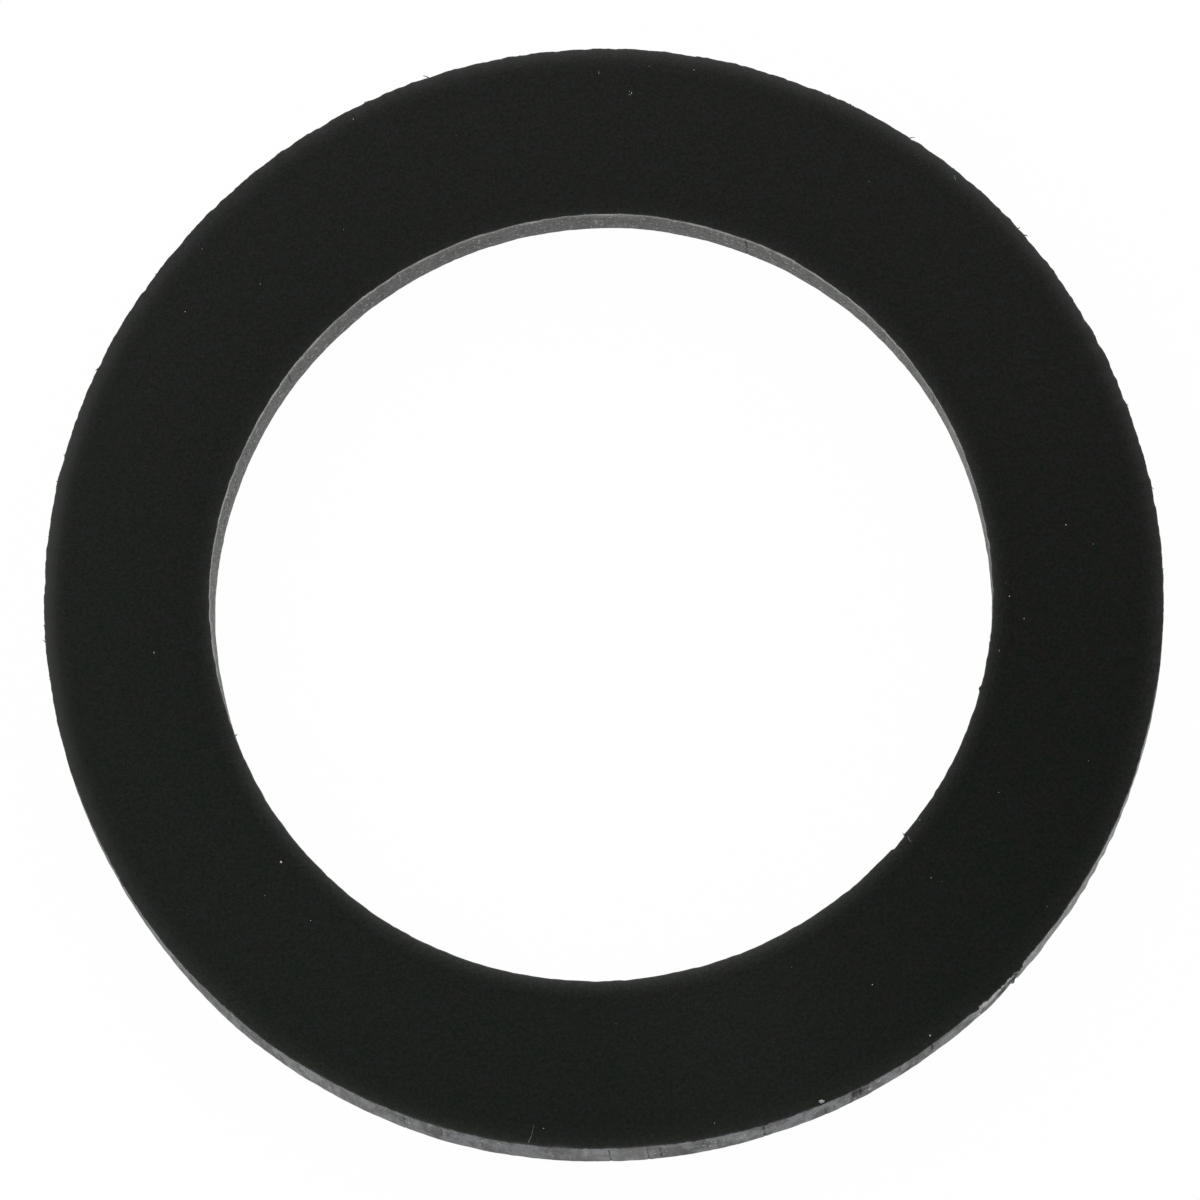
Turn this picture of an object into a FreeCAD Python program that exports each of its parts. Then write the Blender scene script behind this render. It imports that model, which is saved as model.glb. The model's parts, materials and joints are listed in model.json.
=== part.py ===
"""Flat rubber washer, knife-cut from sheet, lying on its underside.

Millimetres. +Z is the washer's axis and points up, away from the underside,
and the origin is the centre of the underside. The knife came in from the top,
so both top edges are rolled over and both bottom edges are sharp. Where the
knife's path closed on itself it left a lip on the rim and a notch in the bore.
"""
import FreeCAD
import Part
import math
import os

# Driving sizes of the cut ring, 1 5/16 in hole, 9/32 in wide, 1/8 in thick
bore_diameter = 33.3375
ring_width = 7.14375
sheet_thickness = 3.175

# Top edges, pulled down by the knife as it entered the sheet
roll_width = 0.60
roll_drop = 0.12

# Lip on the rim, with the shallow dip in which it stands
lip_angle = 305.2
lip_width = 0.24
lip_height = 0.03
lip_dip = 0.05
dip_run_in = 1.30
dip_run_out = 0.16

# Notch in the bore, steep on one side and gentle on the other
notch_angle = 307.8
notch_length = 0.90
notch_depth = 0.07
notch_steep_side = 0.06
notch_gentle_side = 0.16

# How far the rolled sheet reaches past the cut ring, so that it trims all of it
trim_margin = 0.50

bore_radius = bore_diameter / 2
outside_radius = bore_radius + ring_width


def polar(radius, degrees, z=0.0):
    angle = math.radians(degrees)
    return FreeCAD.Vector(radius * math.cos(angle), radius * math.sin(angle), z)


def along_rim(length, radius):
    """The angle in degrees that a length takes up on a circle."""
    return math.degrees(length / radius)


def round_stretch(radius, start, end):
    """The arc from one angle to another, anticlockwise."""
    middle = (start + end) / 2
    return Part.Arc(polar(radius, start), polar(radius, middle), polar(radius, end)).toShape()


def straight_stretches(corners):
    """Straight edges through (radius, degrees) corners."""
    points = [polar(radius, degrees) for radius, degrees in corners]
    return [Part.LineSegment(a, b).toShape() for a, b in zip(points, points[1:])]


def closed_outline(radius, corners):
    """A circle whose stretch between the first and last corner is replaced by straight edges."""
    start = corners[0][1]
    end = corners[-1][1]
    round_part = round_stretch(radius, end, start + 360)
    return Part.Wire(straight_stretches(corners) + [round_part])


def rim_outline():
    """The outside edge, with the lip that stands in its dip."""
    half_lip = along_rim(lip_width / 2, outside_radius)
    run_in = along_rim(dip_run_in, outside_radius)
    run_out = along_rim(dip_run_out, outside_radius)
    dip_radius = outside_radius - lip_dip
    corners = [
        (outside_radius, lip_angle - half_lip - run_in),
        (dip_radius, lip_angle - half_lip),
        (outside_radius + lip_height, lip_angle),
        (dip_radius, lip_angle + half_lip),
        (outside_radius, lip_angle + half_lip + run_out),
    ]
    return closed_outline(outside_radius, corners)


def bore_outline():
    """The edge of the hole, with the notch that reaches into the rubber."""
    half_notch = along_rim(notch_length / 2, bore_radius)
    steep = along_rim(notch_steep_side, bore_radius)
    gentle = along_rim(notch_gentle_side, bore_radius)
    floor_radius = bore_radius + notch_depth
    corners = [
        (bore_radius, notch_angle - half_notch),
        (floor_radius, notch_angle - half_notch + steep),
        (floor_radius, notch_angle + half_notch - gentle),
        (bore_radius, notch_angle + half_notch),
    ]
    return closed_outline(bore_radius, corners)


def cut_ring():
    """The straight-walled ring that the knife frees from the sheet."""
    up = FreeCAD.Vector(0, 0, sheet_thickness)
    disc = Part.Face(rim_outline()).extrude(up)
    hole = Part.Face(bore_outline()).extrude(up)
    return disc.cut(hole)


def rolled_sheet():
    """The sheet round the cuts, turned about the axis, with its top pulled down to both edges."""
    roll_radius = (roll_width ** 2 + roll_drop ** 2) / (2 * roll_drop)
    roll_centre_z = sheet_thickness - roll_radius
    edge_z = sheet_thickness - roll_drop
    half_turn = math.asin(roll_width / roll_radius) / 2
    slope = roll_width / (edge_z - roll_centre_z)
    margin_z = edge_z - slope * trim_margin

    def point(radius, z):
        return FreeCAD.Vector(radius, 0, z)

    def roll(edge_radius, outward):
        """From the flat top to the edge, as an arc that leaves the top smoothly."""
        flat_end = edge_radius - outward * roll_width
        bulge = outward * roll_radius * math.sin(half_turn)
        bulge_z = roll_centre_z + roll_radius * math.cos(half_turn)
        return point(flat_end, sheet_thickness), point(flat_end + bulge, bulge_z), point(edge_radius, edge_z)

    rim_flat, rim_bulge, rim_edge = roll(outside_radius, 1)
    bore_flat, bore_bulge, bore_edge = roll(bore_radius, -1)
    rim_end = point(outside_radius + trim_margin, margin_z)
    rim_foot = point(outside_radius + trim_margin, 0)
    bore_foot = point(bore_radius - trim_margin, 0)
    bore_end = point(bore_radius - trim_margin, margin_z)
    section = Part.Wire([
        Part.LineSegment(bore_foot, rim_foot).toShape(),
        Part.LineSegment(rim_foot, rim_end).toShape(),
        Part.LineSegment(rim_end, rim_edge).toShape(),
        Part.Arc(rim_edge, rim_bulge, rim_flat).toShape(),
        Part.LineSegment(rim_flat, bore_flat).toShape(),
        Part.Arc(bore_flat, bore_bulge, bore_edge).toShape(),
        Part.LineSegment(bore_edge, bore_end).toShape(),
        Part.LineSegment(bore_end, bore_foot).toShape(),
    ])
    return Part.Face(section).revolve(FreeCAD.Vector(0, 0, 0), FreeCAD.Vector(0, 0, 1), 360)


def rubber_washer():
    return cut_ring().common(rolled_sheet())


def single_solid(shape):
    """The one solid in a boolean's result, checked."""
    if len(shape.Solids) != 1:
        raise ValueError("the washer is %d solids" % len(shape.Solids))
    solid = shape.Solids[0]
    if not solid.isValid():
        raise ValueError("the washer's solid is not valid")
    return solid


os.makedirs("parts", exist_ok=True)
washer = single_solid(rubber_washer())
washer.exportStep("parts/rubber_washer.step")
box = washer.optimalBoundingBox(False)
print("rubber_washer: %.1f mm3, %.3f x %.3f x %.3f mm" % (washer.Volume, box.XLength, box.YLength, box.ZLength))
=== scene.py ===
"""A flat rubber washer, cut out of sheet with a knife, on a pale studio floor.

Metres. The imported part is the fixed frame: +Z is the washer's axis and points up,
and the underside lies on z = 0. Angles run anticlockwise from +X, seen from above.
"""

import json
import math
from collections import namedtuple

import bpy
import numpy as np
from mathutils import Matrix, Vector


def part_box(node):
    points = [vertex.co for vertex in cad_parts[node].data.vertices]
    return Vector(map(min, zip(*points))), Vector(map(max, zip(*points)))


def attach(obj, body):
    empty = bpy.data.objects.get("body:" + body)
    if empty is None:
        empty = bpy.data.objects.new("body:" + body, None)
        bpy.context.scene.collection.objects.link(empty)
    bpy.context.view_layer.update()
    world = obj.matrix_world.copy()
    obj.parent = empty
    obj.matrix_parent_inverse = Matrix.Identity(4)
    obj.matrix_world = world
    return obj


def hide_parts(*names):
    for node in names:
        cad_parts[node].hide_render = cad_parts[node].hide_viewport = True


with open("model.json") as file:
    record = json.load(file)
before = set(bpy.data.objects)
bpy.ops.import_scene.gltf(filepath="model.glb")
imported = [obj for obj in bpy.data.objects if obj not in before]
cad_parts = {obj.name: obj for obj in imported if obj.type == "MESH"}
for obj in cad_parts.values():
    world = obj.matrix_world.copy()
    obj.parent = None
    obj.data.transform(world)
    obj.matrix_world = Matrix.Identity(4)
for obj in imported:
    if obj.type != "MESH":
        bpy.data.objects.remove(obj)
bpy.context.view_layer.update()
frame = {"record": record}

bl_info = {
    "name": "Rubber washer",
    "version": (1, 0, 0),
    "blender": (4, 5, 0),
    "location": "3D View > Sidebar > Washer",
    "description": "Builds a knife-cut rubber washer with dust on it, and its studio",
    "category": "Add Mesh",
}

MM = 0.001
FULL_TURN = 2 * math.pi

# The node and body of the imported part that the ring stands for
WASHER_NODE = "rubber_washer"
WASHER_BODY = "root"

washer_low, washer_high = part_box(WASHER_NODE)
bore_mount = next(mount for mount in frame["record"]["mounts"] if mount["name"] == "bore")


def amount(name, description, default, minimum=0.0, **more):
    """A number that a user can change."""
    return bpy.props.FloatProperty(name=name, description=description, default=default, min=minimum, **more)


def length(name, description, default, minimum=0.0):
    """A size in metres."""
    return amount(name, description, default, minimum, unit="LENGTH", precision=6)


def bearing(name, description, degrees):
    """A place round the washer, as an angle."""
    return amount(name, description, math.radians(degrees), -FULL_TURN, subtype="ANGLE")


def colour(name, description, default):
    """A linear colour."""
    return bpy.props.FloatVectorProperty(
        name=name, description=description, default=default, min=0.0, max=1.0, size=3, subtype="COLOR")


def count(name, description, default):
    """A number of like things."""
    return bpy.props.IntProperty(name=name, description=description, default=default, min=0)


class RingSizes(bpy.types.PropertyGroup):
    """Sizes of the ring and of the marks that the knife left on it."""

    outside_radius: length("Outside radius", "Radius of the rim", (washer_high.x - washer_low.x) / 2)
    bore_radius: length("Bore radius", "Radius of the hole", bore_mount["dims"]["r_mm"] * MM)
    thickness: length("Thickness", "Height of the flat top", washer_high.z - washer_low.z)

    rim_roll_width: length("Rim roll width", "Width of the rolled top at the rim", 1 * MM)
    rim_roll_drop: length("Rim roll drop", "Fall of the top at the rim", 0.14 * MM)
    bore_roll_width: length("Bore roll width", "Width of the rolled top at the bore", 0.8 * MM)
    bore_roll_drop: length("Bore roll drop", "Fall of the top at the bore", 0.11 * MM)
    roll_power: amount("Roll power", "How late the rolled top steepens", 2.2, 1.0)
    bloom_and_sheen_fade: length("Bloom fade", "How far in the bloom stays thick", 0.17 * MM)
    sharp_arris: length("Sharp arris", "Rounding of a clean top edge", 0.045 * MM)
    worn_arris: length("Worn arris", "Rounding of the worn top edge", 0.07 * MM)
    worn_angle: bearing("Worn place", "Middle of the worn stretch of the rim", 253)
    worn_reach: bearing("Worn reach", "Half of the worn stretch", 26)

    chatter_pitch: length("Chatter pitch", "Spacing of the knife's scallops", 0.42 * MM, 0.1 * MM)
    rim_chatter: length("Rim chatter", "Depth of the scallops in the rim", 0.03 * MM)
    bore_chatter: length("Bore chatter", "Depth of the scallops in the bore", 0.016 * MM)
    wall_relief: length("Wall relief", "Unevenness of the cut walls", 0.012 * MM)

    lap_start: bearing("Lap start", "Where the second pass left the first", 300.1)
    lap_end: bearing("Lap end", "Where the knife started", 306.4)
    lap_overhang: length("Lap overhang", "How far the top overhangs the lap", 0.06 * MM)
    lip_angle: bearing("Lip place", "Middle of the lip on the rim", 305.2)
    lip_width: length("Lip width", "Width of the lip", 0.28 * MM)
    lip_height: length("Lip height", "How far the lip stands out of the rim", 0.06 * MM)
    lip_dip: length("Lip dip", "Depth of the dip round the lip", 0.07 * MM)
    dip_run_in: length("Dip run-in", "Length of the dip's gentle side", 1.3 * MM)

    notch_angle: bearing("Notch place", "Middle of the notch in the bore", 307.8)
    notch_length: length("Notch length", "Length of the notch along the bore", 0.9 * MM)
    notch_depth: length("Notch depth", "Depth of the notch", 0.07 * MM)


class FinishColours(bpy.types.PropertyGroup):
    """Colours of the rubber and of what lies on it, some of which also paint in light and shade."""

    skin: colour("Skin", "The moulded top and underside", (0.0028, 0.0056, 0.0025))
    # The warm skin also makes a painted shift of tint across the face, for how the light falls on it
    skin_warm: colour("Warm skin", "Brownish patches in the skin", (0.0055, 0.0052, 0.004))
    skin_cool: colour("Cool skin", "Bluish patches in the skin", (0.0048, 0.0054, 0.0063))
    # The bloom colour also paints in the sheen of the rolled edges and the light and shade across the face
    bloom: colour("Bloom", "Grey bloom on the skin beside the cuts", (0.03, 0.032, 0.03))
    cut: colour("Cut", "The cut walls", (0.046, 0.046, 0.045))
    cut_pale: colour("Pale cut", "Paler, bluish patches in the outside wall", (0.072, 0.076, 0.082))
    cut_grey: colour("Grey cut", "Paler patches in the bore's wall", (0.068, 0.067, 0.065))
    # The dull colour paints the shade in the nicks, and the dark places on the rim's wall
    dull: colour("Dull", "Creases and torn places", (0.01, 0.01, 0.01))
    # The speck colour also paints light and highlights on the walls
    speck_and_highlight: colour("Speck", "Pale filler grains and scuffs in the cut walls", (0.42, 0.42, 0.41))
    dust: colour("Dust", "Dust on the face and the rim", (0.62, 0.62, 0.58))
    lint: colour("Lint", "Fibres on the face", (0.24, 0.24, 0.22))
    floor: colour("Floor", "The studio floor", (0.85, 0.85, 0.85))


class Litter(bpy.types.PropertyGroup):
    """How much dust and how many loose threads there are."""

    dust_grains: count("Dust grains", "Scattered grains of dust", 20)
    wall_dashes: count("Wall dashes", "Scattered pale dashes on the cut walls", 90)
    edge_threads: count("Edge threads", "Scattered threads of rubber on the rim", 22)


class StudioSizes(bpy.types.PropertyGroup):
    """The camera, the lamps and the light of the room."""

    camera_distance: length("Camera distance", "From the aim to the camera", 0.9525)
    camera_tilt: bearing("Camera tilt", "Lean from straight above, towards -Y", 11.05)
    camera_turn: bearing("Camera turn", "Turn of the picture, anticlockwise", 12)
    aim_x: length("Aim X", "Sideways place of the camera's aim", -0.096 * MM, -1.0)
    aim_y: length("Aim Y", "Place of the camera's aim along Y", -0.137 * MM, -1.0)
    lens: amount("Lens", "Focal length in millimetres, for a 36 mm sensor", 671.8, 1.0)
    floor_size: length("Floor size", "Side of the square floor", 3.0)
    floor_gap: length("Floor gap", "How far the floor lies under the washer", 0.005 * MM)
    floor_white: amount("Floor white", "How white the camera sees it", 0.985, max=1.0, subtype="FACTOR")
    horizon: amount("Horizon", "Brightness of the room near the floor", 1.12)
    zenith: amount("Zenith", "Brightness of the room overhead", 0.01)


def around_ring(columns, crowded):
    """Angles round the axis, closer at crowded places: bearing, half reach and how much closer."""
    fine_steps = 7200
    fine = np.linspace(0, FULL_TURN, fine_steps + 1)
    crowd = 1 + sum(closer * mound(fine[:-1], place, reach) for place, reach, closer in crowded)
    share_passed = np.concatenate(([0], np.cumsum(crowd))) / crowd.sum()
    return np.interp(np.arange(columns) / columns, share_passed, fine)


def away_from(angle, centre):
    """Signed angle from a place on the ring, between minus and plus half a turn."""
    return (angle - centre + math.pi) % FULL_TURN - math.pi


def eased(value):
    """0 below 0, 1 above 1, and smooth between."""
    value = np.clip(value, 0, 1)
    return value * value * (3 - 2 * value)


def mound(angle, centre, reach):
    """A smooth rise round one place on the ring, 1 at its middle and 0 beyond its reach."""
    return eased(1 - np.abs(away_from(angle, centre)) / reach)


def knots_for(radius, pitch):
    """How many knots of a pitch go round a circle."""
    return max(3, round(FULL_TURN * radius / pitch))


def ring_noise(random, angle, knots):
    """Smooth random values from -1 to 1 round the ring."""
    values = random.uniform(-1, 1, knots)
    place = angle / FULL_TURN * knots
    first = np.floor(place).astype(int)
    blend = eased(place - first)
    return values[first % knots] * (1 - blend) + values[(first + 1) % knots] * blend


def waves(random, angle, radius, pitch):
    """The same, with the knots a pitch in millimetres apart."""
    return ring_noise(random, angle, knots_for(radius, pitch * MM))


def wall_waves(random, angle, radius, pitch, layers):
    """Waves over a whole wall, one row for each of its heights."""
    sheets = [waves(random, angle, radius, pitch) for _ in range(layers + 1)]
    rows = []
    for climb in WALL_CLIMB:
        place = min(climb * layers, layers - 1e-6)
        below = int(place)
        blend = float(eased(place - below))
        rows.append(sheets[below] * (1 - blend) + sheets[below + 1] * blend)
    return np.array(rows)


def roll_of(sizes, side):
    """Width and drop of the rolled top at the rim, side 1, or at the bore, side -1."""
    if side > 0:
        return sizes.rim_roll_width, sizes.rim_roll_drop
    return sizes.bore_roll_width, sizes.bore_roll_drop


def rolled_height(sizes, inset, side):
    """Height of the skin at a distance in from the cut."""
    width, drop = roll_of(sizes, side)
    return sizes.thickness - drop * np.clip(1 - inset / width, 0, 1) ** sizes.roll_power


# One cut of the ring: outlines of the top, the foot and the rolled skin, rounding of the arris, relief,
# pale scuffs with painted light and highlights on the wall, painted shade in its nicks and dark places,
# grey bloom with painted sheen beside it, and 1 for the rim or -1 for the bore
Edge = namedtuple("Edge", "top foot skin_end arris relief scuff crease bloom outward")

# One row of points round the ring, with how much of each mark it carries, 0 unless given
Row = namedtuple("Row", "radius height cut scuff crease bloom", defaults=(0, 0, 0, 0))

# The places of the ring's rows, as shares of the wall, the roll, the arris, the face and the underside
WALL_CLIMB = np.append(np.linspace(0, 0.94, 12), 1.0)
ROLL_STEPS = (0.06, 0.15, 0.27, 0.42, 0.62, 1.0)
ARRIS_STEPS = (0.3, 0.6, 1.0)
FACE_STEPS = (0.5,)
UNDERSIDE_STEPS = (0.02, 0.98)
RING_COLUMNS = 2100

# Where the columns stand closer: half reach in radians, and how much closer
LAP_CROWD = (math.radians(9), 2.5)
NICK_CROWD = (math.radians(0.7), 2.0)

# In the tables, bearings and reaches are in degrees and lengths in millimetres. A height on a wall is a
# share of it, and side is 1 for the rim and -1 for the bore.

# Even swings of an outline in and out of round: times a turn, bearing of one, and how far out
RIM_TOP_SWINGS = ((1, 2, 0.052), (2, 124, 0.04), (3, 83, 0.033))
RIM_FOOT_SWINGS = ((3, 116, 0.037),)
BORE_TOP_SWINGS = ((1, 133, 0.08), (2, 21, 0.074))
BORE_FOOT_SWINGS = ((3, 74, 0.045),)

# Slow swells of an outline: bearing, half reach, and how far out
RIM_TOP_SWELLS = (
    (40, 30, 0.04), (128, 18, -0.04), (158, 12, 0.03), (204, 12, 0.035), (222, 16, 0.055), (243, 22, 0.078),
    (272, 10, 0.012), (288, 24, 0.05), (310, 16, 0.02), (324, 10, 0.06), (344, 20, 0.052))
RIM_FOOT_SWELLS = (
    (202, 18, -0.065), (243, 12, 0.035), (288, 15, 0.025), (298, 5, 0.02), (302.9, 3.4, 0.045),
    (331, 9, -0.028))
BORE_TOP_SWELLS = (
    (4, 12, -0.02), (20, 35, -0.075), (44, 12, -0.018), (60, 12, -0.032), (90, 22, -0.045),
    (128, 50, -0.07), (138, 16, -0.025), (184, 22, -0.08), (206, 20, -0.03), (258, 14, 0.02),
    (333, 25, 0.04))
BORE_FOOT_SWELLS = (
    (354, 24, -0.11), (10, 14, -0.03), (58, 20, -0.03), (90, 30, -0.04), (130, 45, -0.055),
    (152, 22, -0.015), (183, 18, -0.055))

# Strength of the grey bloom beside the cuts, which also paints in the sheen of the rolled edges where the
# lamps leave them dim: everywhere on one side, and where there is more: bearing, half reach, how much more
RIM_BLOOM_AND_SHEEN = (
    0.2,
    ((270, 80, 0.14), (293, 12, 0.15), (146, 30, -0.07), (213, 20, 0.05), (328, 28, 0.14), (342, 18, 0.12)))
BORE_BLOOM_AND_SHEEN = (0.34, ((265, 90, 0.22), (198, 14, 0.35), (288, 16, 0.15)))

# The same for the thin film of dust on the whole face, whose rise and fall by bearing paints in the light
# and shade across the face, and for the roughness of the rim's foot
FACE_FILM_AND_SHADE = (0.1, ((335, 62, -0.09), (80, 50, 0.03), (175, 45, -0.04), (275, 20, 0.06)))
RIM_FOOT_ROUGHNESS = (0.25, ((318, 22, 0.9),))

# Nicks across a wall: bearing, half width, depth, and from one height to another
RIM_NICKS = (
    (237.5, 0.07, 0.03, 0, 0.8), (241.5, 0.07, 0.04, 0.3, 0.9), (245.8, 0.08, 0.03, 0.3, 1),
    (258.9, 0.07, 0.05, 0, 1), (262.8, 0.07, 0.05, 0, 1), (264.1, 0.07, 0.04, 0.1, 0.8),
    (274.9, 0.08, 0.05, 0, 0.95), (281.5, 0.08, 0.03, 0, 0.7), (284.7, 0.06, 0.02, 0.4, 1),
    (285.5, 0.06, 0.02, 0.3, 0.9), (294.1, 0.09, 0.06, 0.4, 1),
)
BORE_NICKS = (
    (56.6, 0.08, 0.04, 0, 1), (20, 0.08, 0.03, 0.2, 1), (101, 0.08, 0.02, 0, 0.7),
    (132, 0.09, 0.03, 0.3, 1), (155, 0.08, 0.02, 0, 0.8),
)

# How softly nicks end, the depth at which a nick's painted shade is full, and the darkest that the painted
# shade in nicks and the torn places get
NICK_FADE = 0.15
BLACK_DEPTH = 0.115 * MM
DARKEST_NICK = 0.6
DARKEST_TEAR = 0.9

# The share of a wall, under its arris, in which the relief dies out
SETTLING = 0.12

# A flap of rubber at the end of the lap: bearing and half width
LAP_FLAP = (306, 0.3)

# Small steps in the bore's top edge: bearing, half width and depth
BORE_STEPS = ((316.4, 0.3, 0.04), (334, 0.16, -0.06), (341.4, 0.14, 0.03), (348.8, 0.16, 0.03))

# Dark places on the rim's wall, most of them at the torn lap and the lip: bearing, height, half length,
# half height and strength
RIM_TEARS = (
    (285.1, 0.68, 0.66, 0.42, 0.75), (284.3, 0.08, 0.16, 0.2, 0.6), (303.6, 0.25, 0.6, 0.45, 0.8),
    (304.7, 0.35, 0.34, 0.5, 0.85), (305.3, 0.55, 0.3, 0.75, 0.9), (291, 0.25, 0.3, 0.3, 0.3),
    (266.5, 0.2, 0.5, 0.3, 0.2), (278.5, 0.3, 0.35, 0.3, 0.3),
)

# Pale marks on a wall, with the same five numbers. Most are scuffs; those along the lap also paint in the
# highlights on its torn top edge, the broad washes at 319, 330, 259.5 and 230.5 are painted light on the
# right and near walls, and in the bore the marks high up at 60.6 and 76 paint a highlight on its top edge
RIM_SCUFFS_AND_LIGHT = (
    (319, 0.5, 8, 1.6, 0.32), (330, 0.5, 3.5, 1.6, 0.4), (259.5, 0.5, 3.6, 1.6, 0.17),
    (230.5, 0.5, 4.5, 1.6, 0.1), (300.1, 0.8, 0.22, 0.3, 0.8), (301, 0.75, 0.5, 0.45, 1),
    (302, 0.75, 0.5, 0.4, 1), (303, 0.85, 0.5, 0.3, 1), (304.3, 0.88, 0.4, 0.25, 1),
    (306.6, 0.75, 0.4, 0.35, 0.7), (308.2, 0.8, 0.5, 0.3, 0.6), (310.5, 0.8, 0.9, 0.25, 0.5),
    (314, 0.85, 1, 0.2, 0.4), (287.6, 0.7, 0.14, 0.2, 0.5), (238.6, 0.55, 0.5, 0.4, 0.3),
    (273, 0.45, 0.6, 0.4, 0.25),
)
BORE_SCUFFS_AND_LIGHT = (
    (60.6, 0.98, 0.62, 0.1, 0.7), (181.2, 0.6, 0.42, 0.2, 0.6), (76, 0.92, 1.2, 0.1, 0.4),
    (176, 0.75, 1.6, 0.35, 0.3), (12, 0.5, 4, 1.2, 0.12),
)


def wall_unevenness(sizes, random, angle, radius):
    """Relief of a cut wall, from slow waves down to fine tears."""
    slow = wall_waves(random, angle, radius, 2.2, 2)
    middling = wall_waves(random, angle, radius, 0.7, 5)
    fine = wall_waves(random, angle, radius, 0.22, 11)
    return sizes.wall_relief * (0.8 * slow + 0.6 * middling + 0.45 * fine)


def tab(angle, degrees, half_width, radius):
    """A narrow rise at a bearing, 1 in its middle and 0 beyond its half width in millimetres."""
    return mound(angle, math.radians(degrees), half_width * MM / radius)


def nick_depth(angle, nicks, radius):
    """Depth of the nicks over a wall, one row for each height."""
    depths = np.zeros((len(WALL_CLIMB), len(angle)))
    for degrees, half_width, depth, low, high in nicks:
        tall = eased((WALL_CLIMB - low) / NICK_FADE + 0.5) * eased((high - WALL_CLIMB) / NICK_FADE + 0.5)
        along = tab(angle, degrees, half_width, radius)
        depths = np.maximum(depths, depth * MM * tall[:, None] * along)
    return depths


def painted_nick_shade(angle, nicks, radius):
    """Painted shade in the nicks, darker the deeper they are, broken up along their height."""
    random = np.random.default_rng(61)
    broken = wall_waves(random, angle, radius, 0.15, 7)
    return np.clip(nicks / BLACK_DEPTH * (1 + 0.9 * broken), 0, DARKEST_NICK)


def mounds(angle, places):
    """Smooth rises added up: bearing and half reach in degrees, and the height of each."""
    return sum(
        height * mound(angle, math.radians(degrees), math.radians(reach))
        for degrees, reach, height in places)


def outline(angle, radius, swings, swells):
    """A circle that departs from round by its swings and swells."""
    evenly = sum(out * np.cos(times * (angle - math.radians(degrees))) for times, degrees, out in swings)
    return radius + MM * (evenly + mounds(angle, swells))


def mark_strength(angle, marks, radius):
    """Strength of pale or dark marks over a wall, one row for each height."""
    total = np.zeros((len(WALL_CLIMB), len(angle)))
    for degrees, share_up, half_length, half_height, strength in marks:
        tall = np.clip(1 - np.abs(WALL_CLIMB - share_up) / half_height, 0, 1)
        along = tab(angle, degrees, half_length, radius)
        total = np.maximum(total, strength * tall[:, None] * along)
    return total


def strength_round(angle, pattern):
    """Strength of a mark or of a roughness round the ring."""
    everywhere, places = pattern
    return everywhere + mounds(angle, places)


def chatter(sizes, random, angle, radius):
    """Scallops, slow wander and roughness of the knife's path round one cut, of about unit size."""
    knots = knots_for(radius, sizes.chatter_pitch)
    scallops = ring_noise(random, angle, knots) + 0.5 * ring_noise(random, angle, 2 * knots)
    wander = waves(random, angle, radius, 3)
    rough = ring_noise(random, angle, knots)
    return scallops, wander, rough


def rim_edge(sizes, random, angle):
    """The outside cut, with the lap, the lip in its dip, nicks and a worn arris."""
    radius = sizes.outside_radius
    far_side = 0.45 + 0.55 * eased(0.5 + 0.9 * np.sin(angle + math.radians(12)))
    scallops, wander, rough = chatter(sizes, random, angle, radius)
    scallops *= far_side
    rough *= strength_round(angle, RIM_FOOT_ROUGHNESS)
    skin_end = outline(angle, radius, RIM_TOP_SWINGS, RIM_TOP_SWELLS)
    skin_end += sizes.rim_chatter * (scallops + 0.5 * wander)
    foot = outline(angle, radius, RIM_FOOT_SWINGS, RIM_FOOT_SWELLS)
    foot += sizes.rim_chatter * (0.2 * scallops + rough)

    ramp = 0.08 * MM / radius
    lap = eased(away_from(angle, sizes.lap_start) / ramp) * eased(-away_from(angle, sizes.lap_end) / ramp)
    start_torn = mound(angle, sizes.lap_start, 0.7 * MM / radius)
    end_torn = mound(angle, sizes.lap_end, 1.0 * MM / radius)
    coarse_tear = waves(random, angle, radius, 0.11)
    fine_tear = waves(random, angle, radius, 0.06)
    torn = (0.12 + 0.3 * lap + 0.4 * start_torn + 0.3 * end_torn) * (coarse_tear + 0.5 * fine_tear)
    past_tooth = away_from(angle, sizes.lap_start) * radius
    tooth = np.clip(1 + past_tooth / (0.55 * MM), 0, 1) * np.clip(1 - past_tooth / (0.05 * MM), 0, 1)
    flap = tab(angle, *LAP_FLAP, radius)
    top = skin_end + sizes.lap_overhang * (0.8 * lap + torn + 0.9 * flap + 1.4 * tooth)

    relief = wall_unevenness(sizes, random, angle, radius)
    past_lip = away_from(angle, sizes.lip_angle) * radius
    half_lip = sizes.lip_width / 2
    lip = np.clip(1 - np.abs(past_lip) / half_lip, 0, 1)
    run_in = np.clip(1 + past_lip / sizes.dip_run_in, 0, 1)
    run_out = np.clip(1 - past_lip / (2.2 * half_lip), 0, 1)
    dip = np.where(past_lip < 0, run_in, run_out)
    lip_line = (sizes.lip_height + sizes.lip_dip) * lip - sizes.lip_dip * dip
    fade_up = 1 - eased((WALL_CLIMB - 0.55) / 0.4)
    relief += fade_up[:, None] * lip_line

    nicks = nick_depth(angle, RIM_NICKS, radius)
    tears = mark_strength(angle, RIM_TEARS, radius)
    # Painted shade in the nicks, and the dark places
    crease = np.clip(painted_nick_shade(angle, nicks, radius) + tears, 0, DARKEST_TEAR)
    scuff = mark_strength(angle, RIM_SCUFFS_AND_LIGHT, radius)

    worn = mound(angle, sizes.worn_angle, sizes.worn_reach)
    arris = sizes.sharp_arris + (sizes.worn_arris - sizes.sharp_arris) * worn
    arris *= 1 + 0.35 * waves(random, angle, radius, 0.9)
    bloom = strength_round(angle, RIM_BLOOM_AND_SHEEN)
    return Edge(top, foot, skin_end, arris, relief - nicks, scuff, crease, bloom, 1)


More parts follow.
